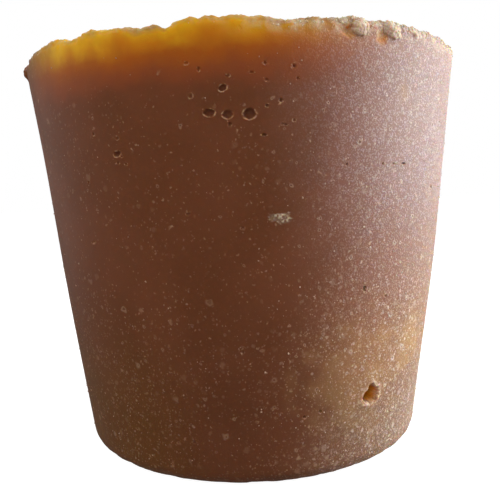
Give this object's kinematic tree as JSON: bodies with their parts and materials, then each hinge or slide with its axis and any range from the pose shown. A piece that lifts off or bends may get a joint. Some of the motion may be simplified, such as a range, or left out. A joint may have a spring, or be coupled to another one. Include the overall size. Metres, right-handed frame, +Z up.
{
  "type": "jaggery block",
  "caption": "Pail-moulded block of jaggery: a solid tapered round block, wide end up, with a flat base, a shallow dished top and a thin broken lip.",
  "frame": {"origin": "centre of the flat base, on the surface that the block stands on", "axes": "+Z up along the block's axis, from the narrow base to the wide poured face; -Y towards the side with the burst bubbles and the crusted stretch of lip"},
  "size_m": [0.1093, 0.1093, 0.0973],
  "materials": {
    "jaggery": "matt brown boiled cane sugar with a fine crystalline grain, translucent amber at the thin lip"
  },
  "bodies": {
    "root": {"jaggery_block": "jaggery"}
  },
  "joints": []
}
